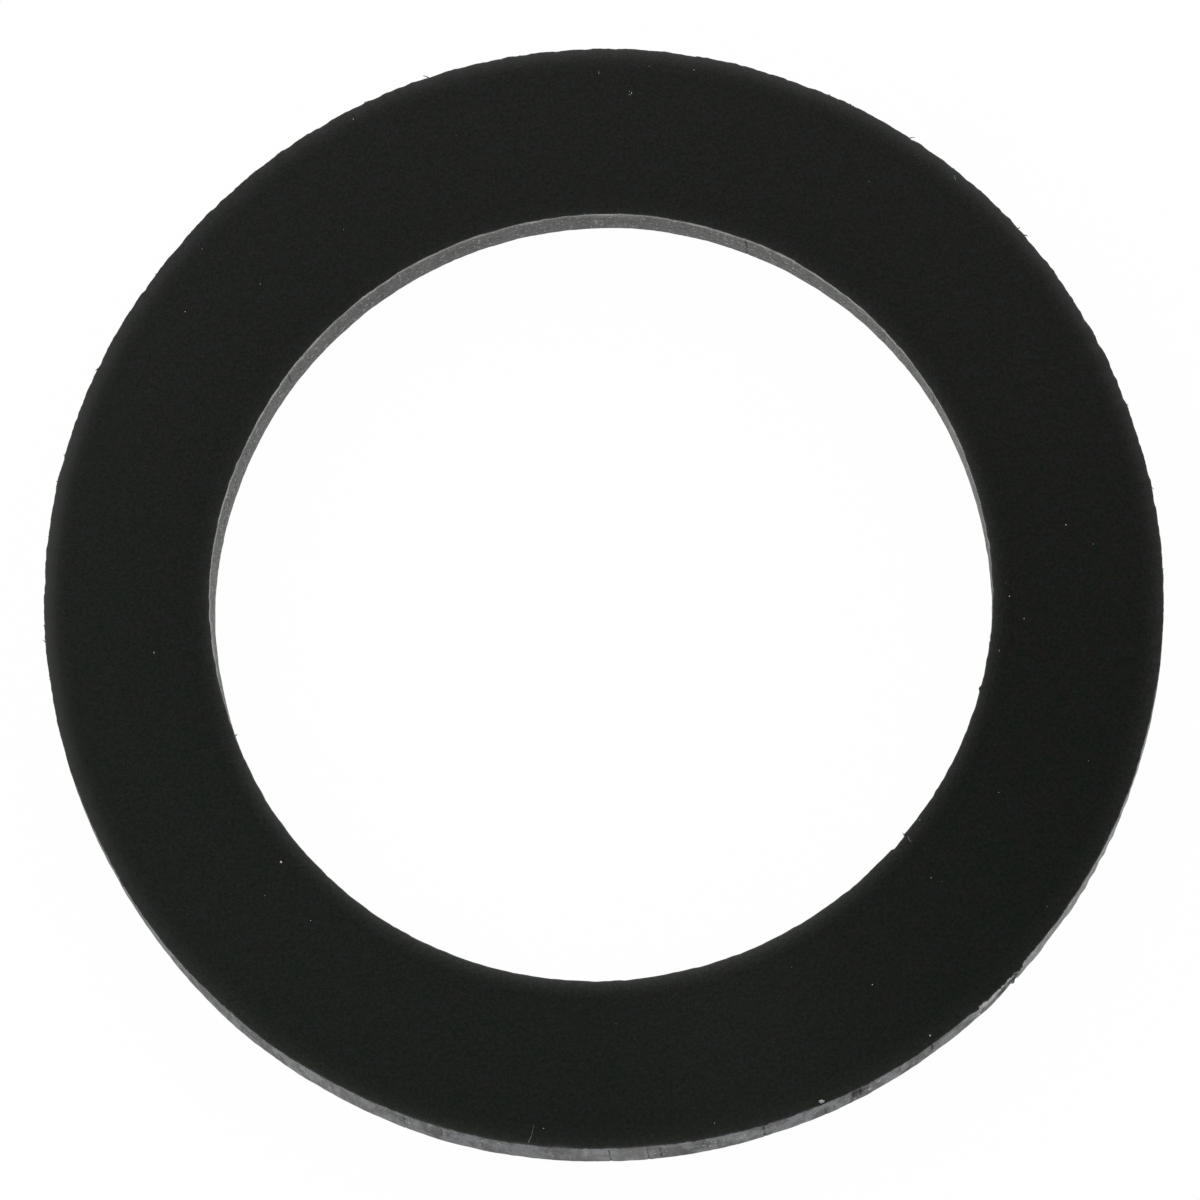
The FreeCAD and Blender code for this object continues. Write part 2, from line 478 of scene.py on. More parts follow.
def bore_edge(sizes, random, angle):
    """The inside cut, with its notch and small steps."""
    radius = sizes.bore_radius - 0.03 * MM
    scallops, wander, rough = chatter(sizes, random, angle, radius)
    skin_end = outline(angle, radius, BORE_TOP_SWINGS, BORE_TOP_SWELLS)
    skin_end += sizes.bore_chatter * (scallops + 0.6 * wander)
    foot = outline(angle, radius, BORE_FOOT_SWINGS, BORE_FOOT_SWELLS)
    foot += sizes.bore_chatter * (0.4 * scallops + 0.3 * rough)

    past = away_from(angle, sizes.notch_angle) * radius
    half = sizes.notch_length / 2
    notch = eased((past + half) / (0.16 * MM)) * eased((half - past) / (0.07 * MM))
    notch *= 1 + 0.2 * waves(random, angle, radius, 0.2)
    top = skin_end + sizes.notch_depth * notch
    foot += sizes.notch_depth * notch

    for degrees, half_width, depth in BORE_STEPS:
        top += depth * MM * tab(angle, degrees, half_width, radius)

    nicks = nick_depth(angle, BORE_NICKS, radius)
    relief = wall_unevenness(sizes, random, angle, radius) + nicks
    # Painted shade in the nicks
    crease = painted_nick_shade(angle, nicks, radius)
    scuff = mark_strength(angle, BORE_SCUFFS_AND_LIGHT, radius)
    # Painted highlight: a pale line along the top edge of the bore's wall and its arris
    painted_edge_highlight = waves(random, angle, radius, 0.4)
    scuff[-1] = np.maximum(scuff[-1], 0.8 + 0.2 * painted_edge_highlight)
    scuff[-2] = np.maximum(scuff[-2], 0.3 + 0.3 * painted_edge_highlight)
    arris = sizes.sharp_arris * (0.9 + 0.3 * waves(random, angle, radius, 0.9))
    bloom = strength_round(angle, BORE_BLOOM_AND_SHEEN)
    return Edge(top, foot, skin_end, arris, relief, scuff, crease, bloom, -1)


def cut_edges(sizes):
    """Angles round the ring, with its outside and inside cut."""
    random = np.random.default_rng(17)
    crowded = [((sizes.lap_start + sizes.lap_end) / 2, *LAP_CROWD)]
    crowded += [(math.radians(nick[0]), *NICK_CROWD) for nick in RIM_NICKS + BORE_NICKS]
    angle = around_ring(RING_COLUMNS, crowded)
    return angle, rim_edge(sizes, random, angle), bore_edge(sizes, random, angle)


def read_at(angle, angles, values):
    """A value that goes round the ring, read at one angle."""
    return np.interp(angle, angles, values, period=FULL_TURN)


def wall_radius(angles, edge, angle, climb):
    """Radius of a cut wall at one place, by angle and by share of the wall's height."""
    row = int(np.abs(WALL_CLIMB - climb).argmin())
    lines = (edge.foot, edge.top, edge.relief[row])
    foot, top, relief = (read_at(angle, angles, values) for values in lines)
    return foot + (top - foot) * climb + relief


def trimmed_by(edge):
    """How far in from the skin's end the cut trims it, round the ring."""
    return edge.outward * (edge.skin_end - edge.top)


def wall_rows(sizes, edge):
    """Rows of a cut wall from its foot to its arris."""
    arris_foot = rolled_height(sizes, trimmed_by(edge), edge.outward) - edge.arris
    rows = []
    for climb, relief, scuff, crease in zip(WALL_CLIMB, edge.relief, edge.scuff, edge.crease):
        settled = min(1.0, (1 - climb) / SETTLING)
        radius = edge.foot + (edge.top - edge.foot) * climb + relief * settled
        rows.append(Row(radius, arris_foot * climb, 1, scuff, crease))
    return rows


def top_rows(sizes, edge, film_and_shade):
    """Rows from the arris over the rolled skin to the flat of the face."""
    trimmed = trimmed_by(edge)
    corner_height = rolled_height(sizes, trimmed, edge.outward)
    arris_gain = rolled_height(sizes, trimmed + edge.arris, edge.outward) - corner_height
    roll_start = np.maximum(trimmed + edge.arris, 0)
    width, _ = roll_of(sizes, edge.outward)
    rows = []
    for step in ARRIS_STEPS:
        left = 1 - step
        radius = edge.top - edge.outward * edge.arris * step * step
        height = corner_height - edge.arris * left * left + arris_gain * step * step
        bloom = film_and_shade + edge.bloom
        rows.append(Row(radius, height, left, edge.scuff[-1] * left, edge.crease[-1] * left, bloom))
    for step in ROLL_STEPS:
        inset = roll_start + (width - roll_start) * step
        height = rolled_height(sizes, inset, edge.outward)
        # The bloom and its painted sheen are thickest at the cut and thin out over the roll
        thick = 0.55 * (1 - step) + 0.45 * np.exp(-inset / sizes.bloom_and_sheen_fade)
        rows.append(Row(edge.skin_end - edge.outward * inset, height, bloom=film_and_shade + edge.bloom * thick))
    return rows


def between_rows(steps, inner, outer):
    """Rows spread between two rows."""
    return [Row(*(a + (b - a) * step for a, b in zip(inner, outer))) for step in steps]


def ring_section(sizes, angle, rim, bore):
    """All rows round the ring's section: underside, rim wall, top, bore wall."""
    # A thin film of dust over the face, whose strength by bearing also paints in light and shade
    film_and_shade = strength_round(angle, FACE_FILM_AND_SHADE)
    rim_wall = wall_rows(sizes, rim)
    bore_wall = wall_rows(sizes, bore)
    rim_top = top_rows(sizes, rim, film_and_shade)
    bore_top = top_rows(sizes, bore, film_and_shade)
    face = between_rows(FACE_STEPS, rim_top[-1], bore_top[-1])
    underside = between_rows(UNDERSIDE_STEPS, Row(bore_wall[0].radius, 0), Row(rim_wall[0].radius, 0))
    return underside + rim_wall + rim_top + face + bore_top[::-1] + bore_wall[::-1]


def new_object(name, data):
    """An object in the scene, with its mesh, lamp or lens."""
    made = bpy.data.objects.new(name, data)
    bpy.context.collection.objects.link(made)
    return made


def mesh_object(name, points, faces, material):
    """A mesh object of one material."""
    mesh = bpy.data.meshes.new(name)
    mesh.from_pydata(points, [], faces)
    mesh.materials.append(material)
    mesh.update()
    return new_object(name, mesh)


def mesh_piece(name, points, faces, material):
    """A smooth mesh object that rides on the washer."""
    piece = mesh_object(name, points, faces, material)
    piece.data.shade_smooth()
    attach(piece, WASHER_BODY)
    return piece


def closed_grid(rows, columns):
    """Faces of a grid that closes both ways, facing out of the ring."""
    row, column = np.divmod(np.arange(rows * columns), columns)
    next_row = (row + 1) % rows
    next_column = (column + 1) % columns
    corners = (
        row * columns + column,
        row * columns + next_column,
        next_row * columns + next_column,
        next_row * columns + column,
    )
    return np.stack(corners, axis=1)


class Signal:
    """A node's output. Arithmetic on it adds Math nodes to the same tree."""

    def __init__(self, recipe, socket):
        self.recipe = recipe
        self.socket = socket

    def maths(self, operation, *values):
        return self.recipe.node("Math", {"operation": operation}, dict(enumerate(values)))

    def __add__(self, other):
        return self.maths("ADD", self, other)

    __radd__ = __add__

    def __sub__(self, other):
        return self.maths("SUBTRACT", self, other)

    def __rsub__(self, other):
        return self.maths("SUBTRACT", other, self)

    def __mul__(self, other):
        return self.maths("MULTIPLY", self, other)

    __rmul__ = __mul__

    def eased_between(self, low, high):
        """0 at low, 1 at high, and smooth between."""
        settings = {"interpolation_type": "SMOOTHSTEP"}
        return self.recipe.node("MapRange", settings, {"Value": self, "From Min": low, "From Max": high})


class Recipe:
    """The node tree of a material or of the world."""

    def __init__(self, tree):
        self.tree = tree
        tree.nodes.clear()

    def node(self, kind, settings=None, values=None, output=0):
        """Adds a node: its settings first, then the values or links of its sockets."""
        made = self.tree.nodes.new("ShaderNode" + kind)
        for name, value in (settings or {}).items():
            setattr(made, name, value)
        for name, value in (values or {}).items():
            socket = made.inputs[name]
            if isinstance(value, Signal):
                self.tree.links.new(value.socket, socket)
            else:
                socket.default_value = value
        return Signal(self, made.outputs[output]) if made.outputs else None

    def place(self, stretch):
        """Position on the piece in millimetres, each direction scaled."""
        position = self.node("TexCoord", output="Object")
        scale = tuple(1000 * factor for factor in stretch)
        return self.node("VectorMath", {"operation": "MULTIPLY"}, {0: position, 1: scale})

    def mark(self, name):
        """How strongly the mesh carries one kind of mark."""
        return self.node("Attribute", {"attribute_name": name}, output="Fac")

    def noise(self, size, detail=2.0, stretch=(1, 1, 1), roughness=0.5):
        """Cloudy noise from 0 to 1, with patches of a size in millimetres."""
        values = {"Vector": self.place(stretch), "Scale": 1 / size, "Detail": detail, "Roughness": roughness}
        return self.node("TexNoise", None, values)

    def blend(self, factor, first, second):
        """One colour shading into another."""
        return self.node("Mix", {"data_type": "RGBA"}, {0: factor, 6: first, 7: second}, output=2)

    def shaded(self, base, roughness, specular, **more):
        """A surface of one base colour."""
        values = {"Base Color": base, "Roughness": roughness, "Specular IOR Level": specular, **more}
        return self.node("BsdfPrincipled", None, values)

    def ray(self, kind):
        """1 where what looks is a camera, a glossy or a transmission ray."""
        return self.node("LightPath", output="Is %s Ray" % kind)

    def bump(self, height, reach, normal=None):
        """A normal from a height of 0 to 1, whose full range is reach."""
        values = {"Height": height, "Distance": reach, "Strength": 1.0}
        if normal is not None:
            values["Normal"] = normal
        return self.node("Bump", None, values)


def opaque(rgb):
    return (*rgb, 1.0)


def new_material(name):
    material = bpy.data.materials.new(name)
    material.use_nodes = True
    return material, Recipe(material.node_tree)


def washer_rubber(colours):
    """Near-black matt skin and greyer cut walls, with grain, patches, scuffs and pale filler, and with
    painted
    light and shade: sheen on the rolled edges, light and shade across the face, paler wall feet, light and
    highlights on the walls, and shade in the nicks.
    """
    material, recipe = new_material("washer_rubber")
    cut = recipe.mark("cut")
    scuff = recipe.mark("scuff")
    crease = recipe.mark("crease")
    from_axis = recipe.node(
        "VectorMath", {"operation": "LENGTH"}, {0: recipe.place((1, 1, 0))}, output="Value")
    # 0 towards the bore and 1 towards the rim, to tell the walls apart
    outside = from_axis.eased_between(18, 22)

    mottle = recipe.noise(0.15, 1.0)
    place = recipe.place((1, 1, 1))
    right, far, height = (recipe.node("SeparateXYZ", None, {0: place}, output=axis) for axis in "XYZ")
    # Random warm patches, plus a painted shift of tint towards +X and +Y that stands in for how the studio
    # light falls across the face
    warm_and_painted_tint = (recipe.noise(0.55) + right * 0.003 + far * 0.004).eased_between(0.38, 0.66)
    cool = recipe.noise(0.8, stretch=(0.9, 1.1, 1)).eased_between(0.45, 0.8)
    skin = recipe.blend(warm_and_painted_tint, opaque(colours.skin), opaque(colours.skin_warm))
    skin = recipe.blend(cool, skin, opaque(colours.skin_cool))
    # Grey bloom, with painted sheen on the rolled edges and painted light and shade across the face
    bloom_and_light_share = recipe.mark("bloom") * (mottle * 0.8 + 0.6)
    skin = recipe.blend(bloom_and_light_share, skin, opaque(colours.bloom))

    patches = recipe.noise(1.5, stretch=(1, 1, 0.5))
    bands = recipe.noise(0.3, 1.0, stretch=(1, 1, 0.15))
    speckle = recipe.noise(0.09)
    streaks = recipe.noise(0.5, stretch=(0.35, 0.35, 1.6))
    # Painted light: the walls are paler towards their foot, for the light that the white floor throws on
    # them
    foot = 1 - height.eased_between(0.0, 1.4)
    broad = (patches - 0.5) * (outside * 0.85 + 0.15) + (bands - 0.5) * (outside * 0.65 + 0.15)
    fine = speckle * (0.55 - outside * 0.2) + outside * 0.1
    tone = broad + fine + streaks * 0.25 + foot * 0.06
    pale = tone.eased_between(0.24, 0.58)
    pale_wall = recipe.blend(outside, opaque(colours.cut_grey), opaque(colours.cut_pale))
    wall = recipe.blend(pale, opaque(colours.cut), pale_wall)
    grains = recipe.noise(0.13, 0.0, stretch=(0.8, 0.8, 0.7)) - outside * 0.06
    wall = recipe.blend(grains.eased_between(0.66, 0.8) * 0.7, wall, opaque(colours.speck_and_highlight))
    # Pale scuffs, painted washes of light and painted highlights on the walls, in the speck colour
    wall = recipe.blend(scuff, wall, opaque(colours.speck_and_highlight))

    base = recipe.blend(cut, skin, wall)
    roughness = 0.3 + mottle * 0.21 + cut * (patches * 0.12)
    grain = recipe.bump(recipe.noise(0.08), 0.0042 * MM)
    tears = recipe.noise(0.2, 3.0, stretch=(1, 1, 0.5), roughness=0.6) * cut
    normal = recipe.bump(tears, 0.04 * MM, normal=grain)
    glossy = recipe.shaded(base, roughness, 0.25, Normal=normal)
    # Painted shade in the nicks, and the dark places, in the dull colour
    hollow = recipe.blend(crease, base, opaque(colours.dull))
    matt = recipe.shaded(hollow, 0.9, 0.0)
    dullness = (1 - pale) * cut * 0.42 + (1 - outside) * cut * 0.13 + crease
    surface = recipe.node("MixShader", None, {0: dullness, 1: glossy, 2: matt})
    recipe.node("OutputMaterial", None, {"Surface": surface})
    return material


def thread_rubber(colours):
    """Thin torn rubber of the edge threads."""
    material, recipe = new_material("thread_rubber")
    base = recipe.blend(recipe.noise(0.05, 1.0), opaque(colours.skin), opaque(colours.cut))
    recipe.node("OutputMaterial", None, {"Surface": recipe.shaded(base, 0.5, 0.3)})
    return material


def powder(name, rgb, size, darkest):
    """Dull fibrous stuff, uneven from grain to grain."""
    material, recipe = new_material(name)
    uneven = recipe.noise(size, 1.0).eased_between(0.3, 0.7)
    dark = opaque([channel * darkest for channel in rgb])
    base = recipe.blend(uneven, dark, opaque(rgb))
    recipe.node("OutputMaterial", None, {"Surface": recipe.shaded(base, 0.9, 0.2)})
    return material


class WASHER_OT_ring(bpy.types.Operator):
    """Build the rubber ring with its rolled edges and knife marks"""

    bl_idname = "washer.ring"
    bl_label = "Rubber ring"

    def execute(self, context):
        sizes = context.scene.washer_sizes
        angle, rim, bore = cut_edges(sizes)
        section = ring_section(sizes, angle, rim, bore)
        points = np.array([
            np.stack((row.radius * np.cos(angle), row.radius * np.sin(angle), row.height + 0 * angle), 1)
            for row in section]).reshape(-1, 3)
        faces = closed_grid(len(section), RING_COLUMNS)
        piece = mesh_piece("rubber_ring", points, faces, washer_rubber(context.scene.washer_colours))
        for mark in ("cut", "scuff", "crease", "bloom"):
            layer = piece.data.attributes.new(mark, "FLOAT", "POINT")
            values = np.concatenate([getattr(row, mark) + 0 * angle for row in section])
            layer.data.foreach_set("value", values)
        piece.data.set_sharp_from_angle(angle=math.radians(40))
        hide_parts(WASHER_NODE)
        return {"FINISHED"}


def point_at(radius, angle, height):
    """A point from its radius, angle and height."""
    return np.array([radius * math.cos(angle), radius * math.sin(angle), height])


def on_skin(sizes, cuts, radius, angle, lift):
    """A point that lies on the top skin, lifted by a height. The cuts are what cut_edges gives."""
    angles, *edges = cuts
    insets = [edge.outward * (read_at(angle, angles, edge.skin_end) - radius) for edge in edges]
    height = min(rolled_height(sizes, max(inset, 0), edge.outward) for inset, edge in zip(insets, edges))
    return point_at(radius, angle, height + lift)


def grain_shape(random, centre, size):
    """Points and faces of one crumb, a squashed and dented ball."""
    rings = 4
    sides = 7
    points = [point_at(0, 0, 1)]
    for ring in range(1, rings):
        polar = math.pi * ring / rings
        for side in range(sides):
            points.append(point_at(math.sin(polar), FULL_TURN * side / sides, math.cos(polar)))
    points.append(point_at(0, 0, -1))
    stretch = (*random.uniform(0.6, 1.3, 2), random.uniform(0.35, 0.7))
    dents = random.uniform(0.75, 1.2, len(points))
    shaped = [centre + size * dent * point * stretch for point, dent in zip(points, dents)]
    faces = [(0, 1 + side, 1 + (side + 1) % sides) for side in range(sides)]
    for ring in range(rings - 2):
        first = 1 + ring * sides
        for side in range(sides):
            after = (side + 1) % sides
            faces.append((first + side, first + sides + side, first + sides + after, first + after))
    last = len(points) - 1
    base = last - sides
    faces += [(last, base + (side + 1) % sides, base + side) for side in range(sides)]
    return shaped, faces


def thread_shape(path, thickness, sides=6):
    """Points and faces of a round thread along a path, thinner towards its end."""
    path = np.array(path)
    along = np.gradient(path, axis=0)
    points = []
    for index, (spot, direction) in enumerate(zip(path, along)):
        direction = direction / np.linalg.norm(direction)
        across = np.cross(direction, (0.31, 0.17, 0.94))
        across = across / np.linalg.norm(across)
        over = np.cross(direction, across)
        radius = thickness / 2 * (1 - 0.6 * index / (len(path) - 1))
        for side in range(sides):
            turn = FULL_TURN * side / sides
            points.append(spot + radius * (math.cos(turn) * across + math.sin(turn) * over))
    faces = []
    for ring in range(len(path) - 1):
        first = ring * sides
        for side in range(sides):
            after = (side + 1) % sides
            faces.append((first + side, first + after, first + sides + after, first + sides + side))
    faces.append(tuple(range(sides - 1, -1, -1)))
    faces.append(tuple(range(len(points) - sides, len(points))))
    return points, faces


def shapes_piece(name, shapes, material):
    """Several shapes as one piece."""
    all_points = []
    all_faces = []
    for points, faces in shapes:
        start = len(all_points)
        all_points += list(points)
        all_faces += [tuple(start + corner for corner in face) for face in faces]
    return mesh_piece(name, all_points, all_faces, material)


# The grains of dust that stand out on the face: bearing, radius and size
NOTED_GRAINS = (
    (175.1, 19.2, 0.095), (208.1, 17.75, 0.105), (292.5, 20.38, 0.055), (294.4, 23.58, 0.08),
    (281.3, 23.72, 0.16), (281.5, 23.75, 0.14), (105.2, 23.4, 0.06), (68.4, 23.2, 0.06),
    (252.1, 23.05, 0.055), (347.8, 17.35, 0.05), (344.7, 18, 0.045), (356.7, 19.98, 0.06),
    (339.9, 17.1, 0.05), (270.1, 23.23, 0.05), (312.4, 16.66, 0.075), (307, 18.6, 0.05),
    (321.2, 18.93, 0.038),
)

# Grains that stick to the rim's wall: bearing, height and size
WALL_GRAINS = (
    (269.2, 0.5, 0.17), (268.5, 0.6, 0.09), (286.4, 0.6, 0.12), (245.9, 0.8, 0.11), (299.9, 0.6, 0.14),
    (238.1, 0.62, 0.1),
)

# A small star of dust near the far rim: its place, half width and number of grains
STAR_BEARING = 74.9
STAR_RADIUS = 21.92
STAR_SPREAD = 0.09
STAR_GRAINS = 5

# Radii between which the other grains are scattered
DUST_FROM = 17
DUST_TO = 23.4


class WASHER_OT_dust(bpy.types.Operator):
    """Scatter the grains of dust on the face and the rim"""

    bl_idname = "washer.dust"
    bl_label = "Dust"

    def execute(self, context):
        sizes = context.scene.washer_sizes
        dust = context.scene.washer_colours.dust
        random = np.random.default_rng(29)
        cuts = cut_edges(sizes)
        shapes = []
        for degrees, radius, size in NOTED_GRAINS:
            spot = on_skin(sizes, cuts, radius * MM, math.radians(degrees), 0.3 * size * MM / 2)
            shapes.append(grain_shape(random, spot, size * MM / 2))
        for _ in range(STAR_GRAINS):
            star_angle = math.radians(STAR_BEARING) + random.uniform(-STAR_SPREAD, STAR_SPREAD) / STAR_RADIUS
            star_radius = STAR_RADIUS + random.uniform(-STAR_SPREAD, STAR_SPREAD)
            spot = on_skin(sizes, cuts, star_radius * MM, star_angle, 0.012 * MM)
            shapes.append(grain_shape(random, spot, random.uniform(0.008, 0.019) * MM))
        for _ in range(context.scene.washer_litter.dust_grains):
            radius = math.sqrt(random.uniform(DUST_FROM ** 2, DUST_TO ** 2)) * MM
            size = (0.022 + 0.033 * random.random() ** 3) * MM / 2
            spot = on_skin(sizes, cuts, radius, random.uniform(0, FULL_TURN), 0.3 * size)
            shapes.append(grain_shape(random, spot, size))
        shapes_piece("dust", shapes, powder("dust", dust, 1.2, 0.35))

        angles, rim, _ = cuts
        shapes = []
        for degrees, share_up, size in WALL_GRAINS:
            angle = math.radians(degrees)
            radius = wall_radius(angles, rim, angle, share_up) + 0.3 * size * MM
            height = share_up * (sizes.thickness - sizes.rim_roll_drop)
            shapes.append(grain_shape(random, point_at(radius, angle, height), size * MM / 2))
        shapes_piece("wall_dust", shapes, powder("wall_dust", dust, 0.3, 0.85))
        return {"FINISHED"}


# Pale torn dashes on the walls: bearing, height, length, thickness and side
NOTED_DASHES = (
    (237.9, 0.6, 0.28, 0.045, 1), (238.3, 0.45, 0.2, 0.035, 1), (245.8, 0.77, 0.24, 0.04, 1),
    (248.2, 0.8, 0.14, 0.035, 1), (251.4, 0.57, 0.2, 0.04, 1), (251.6, 0.42, 0.16, 0.035, 1),
    (267.9, 0.31, 0.24, 0.035, 1), (272, 0.72, 0.24, 0.035, 1), (275.3, 0.4, 0.12, 0.05, 1),
    (299.8, 0.62, 0.16, 0.08, 1), (82, 0.93, 0.24, 0.035, -1), (81.5, 0.47, 0.34, 0.035, -1),
    (78.9, 0.92, 0.2, 0.035, -1), (77.6, 0.62, 0.38, 0.035, -1), (74.6, 0.4, 0.32, 0.04, -1),
    (74, 0.74, 0.24, 0.035, -1), (72, 0.93, 0.4, 0.035, -1), (68.8, 0.3, 0.36, 0.035, -1),
    (66.1, 0.54, 0.44, 0.03, -1), (63.5, 0.6, 0.24, 0.035, -1), (181.2, 0.6, 0.5, 0.04, -1),
)

# The share of the scattered dashes that lie in the bore
DASHES_IN_BORE = 0.88


class WASHER_OT_dashes(bpy.types.Operator):
    """Lay the pale torn dashes on the walls"""

    bl_idname = "washer.dashes"
    bl_label = "Wall dashes"

    def execute(self, context):
        sizes = context.scene.washer_sizes
        random = np.random.default_rng(53)
        dashes = list(NOTED_DASHES)
        for _ in range(context.scene.washer_litter.wall_dashes):
            side = -1 if random.random() < DASHES_IN_BORE else 1
            length_mm = 0.06 + 0.2 * random.random() ** 2
            thickness = random.uniform(0.018, 0.032)
            dashes.append((random.uniform(0, 360), random.uniform(0.1, 0.92), length_mm, thickness, side))
        shapes = []
        angles, rim, bore = cut_edges(sizes)
        for degrees, share_up, length_mm, thickness, side in dashes:
            edge = rim if side > 0 else bore
            _, drop = roll_of(sizes, side)
            tilt = random.uniform(-0.25, 0.25)
            path = []
            for step in np.linspace(-0.5, 0.5, 5):
                angle = math.radians(degrees) + step * length_mm * MM / sizes.bore_radius
                radius = wall_radius(angles, edge, angle, share_up) + side * 0.003 * MM
                height = share_up * (sizes.thickness - drop) + tilt * step * length_mm * MM
                path.append(point_at(radius, angle, height))
            shapes.append(thread_shape(path, thickness * MM, sides=5))
        material = powder("wall_dashes", context.scene.washer_colours.speck_and_highlight, 0.4, 0.25)
        shapes_piece("wall_dashes", shapes, material)
        return {"FINISHED"}


# The fibres: from one bearing and radius to another, and thickness
NOTED_FIBRES = (
    (250.7, 23.72, 251.05, 22.95, 0.022),
    (309.45, 16.69, 309.05, 16.96, 0.024),
    (38.2, 23.5, 38.6, 23.62, 0.03),
    (78.5, 22.72, 78.5, 22.86, 0.03),
)


class WASHER_OT_lint(bpy.types.Operator):
    """Lay the fibres on the face"""

    bl_idname = "washer.lint"
    bl_label = "Lint"

    def execute(self, context):
        sizes = context.scene.washer_sizes
        random = np.random.default_rng(31)
        cuts = cut_edges(sizes)
        shapes = []
        for start_degrees, start_radius, end_degrees, end_radius, thickness in NOTED_FIBRES:
            bow = random.uniform(-0.03, 0.03) * MM
            path = []
            for step in np.linspace(0, 1, 9):
                radius = (start_radius + (end_radius - start_radius) * step) * MM
                degrees = start_degrees + (end_degrees - start_degrees) * step
                angle = math.radians(degrees) + bow * math.sin(math.pi * step) / radius
                path.append(on_skin(sizes, cuts, radius, angle, 0.5 * thickness * MM))
            shapes.append(thread_shape(path, thickness * MM))
        shapes_piece("lint", shapes, powder("lint", context.scene.washer_colours.lint, 0.9, 0.6))
        return {"FINISHED"}


# Torn threads that stand out: bearing, length and side
NOTED_THREADS = (
    (96.3, 0.22, 1), (44.7, 0.2, 1), (30, 0.16, 1), (29.1, 0.14, 1), (172.5, 0.14, 1),
    (188.9, 0.16, -1), (359.3, 0.12, 1), (350.7, 0.1, 1), (305, 0.14, 1), (309.2, 0.18, -1),
)

# Angles in radians between which the other threads lie, on the far side of the rim
THREADS_FROM = -0.3
THREADS_TO = math.pi + 0.1


class WASHER_OT_threads(bpy.types.Operator):
    """Hang the torn threads of rubber on the cut edges"""

    bl_idname = "washer.threads"
    bl_label = "Edge threads"

    def execute(self, context):
        sizes = context.scene.washer_sizes
        random = np.random.default_rng(41)
        threads = [(math.radians(degrees), size * MM, side) for degrees, size, side in NOTED_THREADS]
        for _ in range(context.scene.washer_litter.edge_threads):
            angle = random.uniform(THREADS_FROM, THREADS_TO)
            threads.append((angle, random.uniform(0.05, 0.11) * MM, 1))
        angles, rim, bore = cut_edges(sizes)
        shapes = []
        for angle, size, side in threads:
            edge = read_at(angle, angles, (rim if side > 0 else bore).top)
            height = float(rolled_height(sizes, 0.0, side)) - 0.06 * MM
            lean = random.uniform(-1.2, 1.2)
            sag = random.uniform(-0.5, 0.2)
            path = []
            for step in np.linspace(0, 1, 5):
                out = side * (size * step - 0.05 * MM)
                aside = lean * size * step * step / edge
                path.append(point_at(edge + out, angle + aside, height + sag * size * step * step))
            shapes.append(thread_shape(path, random.uniform(0.045, 0.075) * MM, sides=5))
        piece = shapes_piece("edge_threads", shapes, thread_rubber(context.scene.washer_colours))
        return {"FINISHED"}


def floor_material(colours, studio):
    """A pale floor that shows as white to the camera and in reflections, and keeps a faint shadow."""
    material, recipe = new_material("studio_floor")
    lit = recipe.node("BsdfDiffuse", None, {"Color": opaque(colours.floor)})
    white = recipe.node("Emission", None, {"Color": (1, 1, 1, 1), "Strength": 1.0})
    factor = (recipe.ray("Camera") + recipe.ray("Glossy") + recipe.ray("Transmission")) * studio.floor_white
    surface = recipe.node("MixShader", None, {0: factor, 1: lit, 2: white})
    recipe.node("OutputMaterial", None, {"Surface": surface})
    return material


def studio_world(studio):
    """Soft room light, bright near the floor and dim overhead, and white to the camera."""
    world = bpy.data.worlds.new("studio_room")
    world.use_nodes = True
    recipe = Recipe(world.node_tree)
    direction = recipe.node("TexCoord", output="Generated")
    climb = recipe.node("SeparateXYZ", None, {0: direction}, output="Z")
    dim = climb.eased_between(0.2, 0.65)
    glow = studio.horizon + (studio.zenith - studio.horizon) * dim
    shown = recipe.ray("Camera") + recipe.ray("Transmission")
    strength = glow * (1 - shown) + shown
    surface = recipe.node("Background", None, {"Color": (1, 1, 1, 1), "Strength": strength})
    recipe.node("OutputWorld", None, {"Surface": surface})
    return world


# Soft boxes: name, bearing and elevation in degrees, distance and side in metres, power in watts
SOFT_BOXES = (
    ("soft_box_left", 155, 36, 0.17, 0.13, 0.133),
    ("soft_box_right", -12, 18, 0.6, 0.4, 0.85),
    ("soft_box_back", 84, 28, 0.4, 0.3, 0.61),
    ("soft_box_corner", 32, 34, 0.4, 0.28, 0.55),
    ("soft_box_front", 240, 38, 0.22, 0.16, 0.119),
)


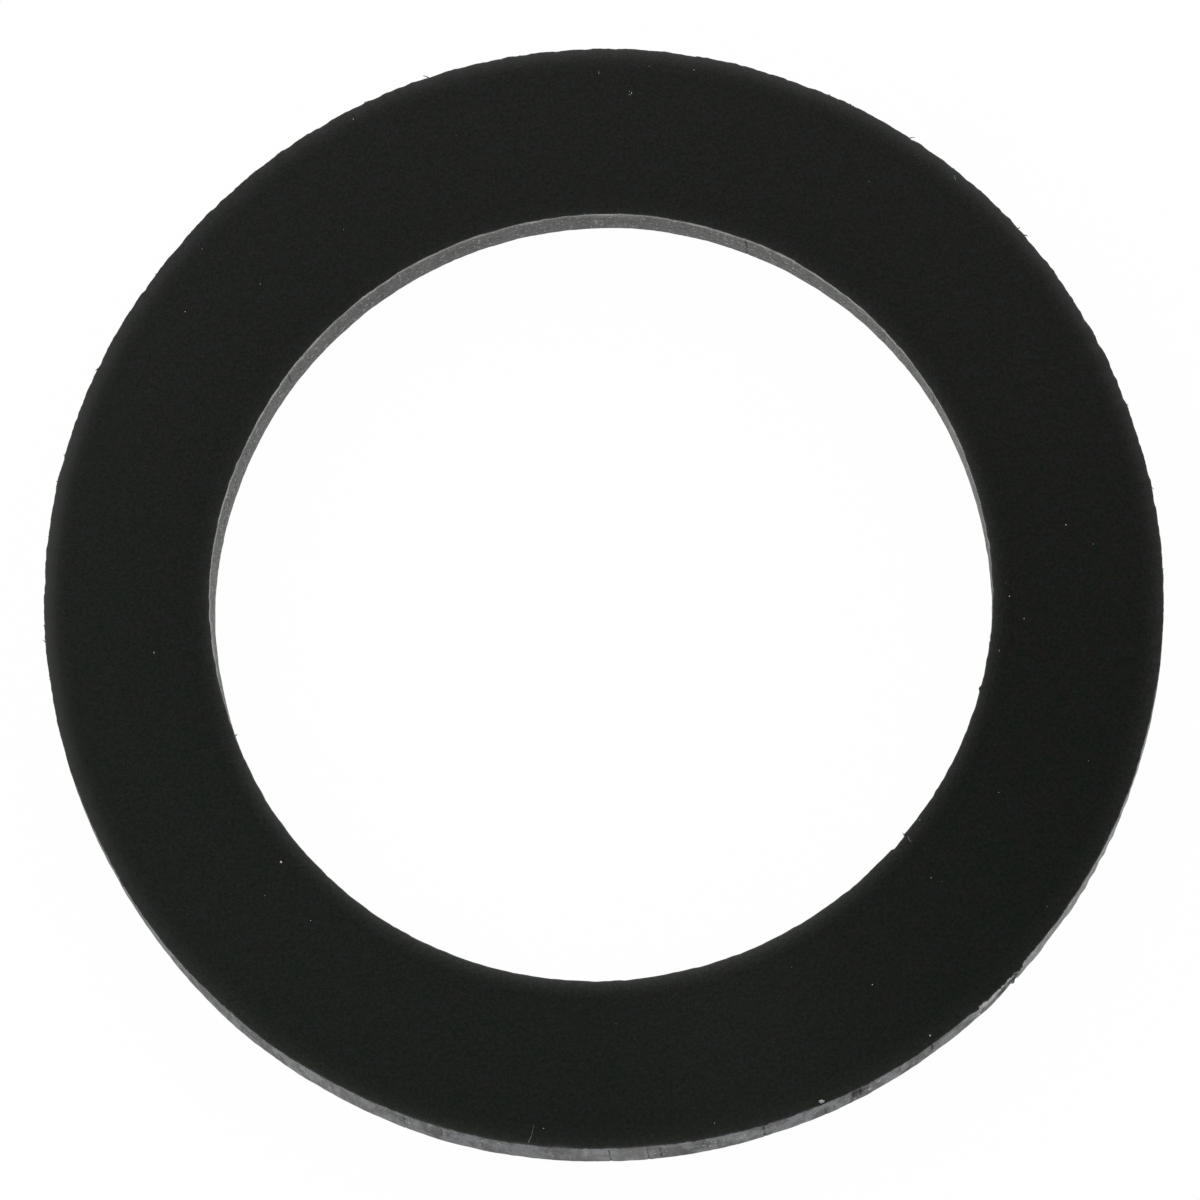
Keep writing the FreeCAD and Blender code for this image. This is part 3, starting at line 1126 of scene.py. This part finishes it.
class WASHER_OT_studio(bpy.types.Operator):
    """Set up the floor, the room light, the soft boxes and the camera"""

    bl_idname = "washer.studio"
    bl_label = "Studio"

    def execute(self, context):
        studio = context.scene.washer_studio
        aim = Vector((studio.aim_x, studio.aim_y, context.scene.washer_sizes.thickness))
        half = studio.floor_size / 2
        sides = ((-half, -half), (half, -half), (half, half), (-half, half))
        corners = [(x, y, -studio.floor_gap) for x, y in sides]
        pale = floor_material(context.scene.washer_colours, studio)
        floor = mesh_object("floor", corners, [(0, 1, 2, 3)], pale)
        context.scene.world = studio_world(studio)

        for name, degrees, elevation, distance, side, power in SOFT_BOXES:
            lamp = bpy.data.lights.new(name, "AREA")
            lamp.shape = "SQUARE"
            lamp.size = side
            lamp.energy = power
            climb = math.radians(elevation)
            back = Vector(point_at(math.cos(climb), math.radians(degrees), math.sin(climb)))
            box = new_object(name, lamp)
            box.location = aim + back * distance
            box.rotation_euler = back.to_track_quat("Z", "Y").to_euler()
            box.visible_camera = False

        lens = bpy.data.cameras.new("camera")
        lens.lens = studio.lens
        lens.sensor_width = 36
        camera = new_object("camera", lens)
        lean = Matrix.Rotation(studio.camera_tilt, 4, "X")
        turn = Matrix.Rotation(-studio.camera_turn, 4, "Z")
        away = Matrix.Translation((0, 0, studio.camera_distance))
        camera.matrix_world = Matrix.Translation(aim) @ lean @ turn @ away
        context.scene.camera = camera
        context.scene.view_settings.view_transform = "Standard"
        return {"FINISHED"}


class WASHER_PT_panel(bpy.types.Panel):
    """The washer's sizes, colours and steps"""

    bl_idname = "WASHER_PT_panel"
    bl_label = "Rubber washer"
    bl_space_type = "VIEW_3D"
    bl_region_type = "UI"
    bl_category = "Washer"

    def draw(self, context):
        for step in STEPS:
            self.layout.operator(step.bl_idname)
        for name, group in GROUPS.items():
            box = self.layout.box()
            box.label(text=group.__name__)
            settings = getattr(context.scene, name)
            for field in group.__annotations__:
                box.prop(settings, field)


GROUPS = {
    "washer_sizes": RingSizes,
    "washer_colours": FinishColours,
    "washer_litter": Litter,
    "washer_studio": StudioSizes,
}
STEPS = (
    WASHER_OT_studio, WASHER_OT_ring, WASHER_OT_threads, WASHER_OT_dashes, WASHER_OT_dust, WASHER_OT_lint)


def register():
    for item in (*GROUPS.values(), *STEPS, WASHER_PT_panel):
        bpy.utils.register_class(item)
    for name, group in GROUPS.items():
        setattr(bpy.types.Scene, name, bpy.props.PointerProperty(type=group))


def unregister():
    for name in GROUPS:
        delattr(bpy.types.Scene, name)
    for item in (WASHER_PT_panel, *STEPS, *GROUPS.values()):
        bpy.utils.unregister_class(item)


def main():
    register()
    bpy.ops.washer.studio()
    bpy.ops.washer.ring()
    bpy.ops.washer.threads()
    bpy.ops.washer.dashes()
    bpy.ops.washer.dust()
    bpy.ops.washer.lint()


if __name__ == "__main__":
    main()
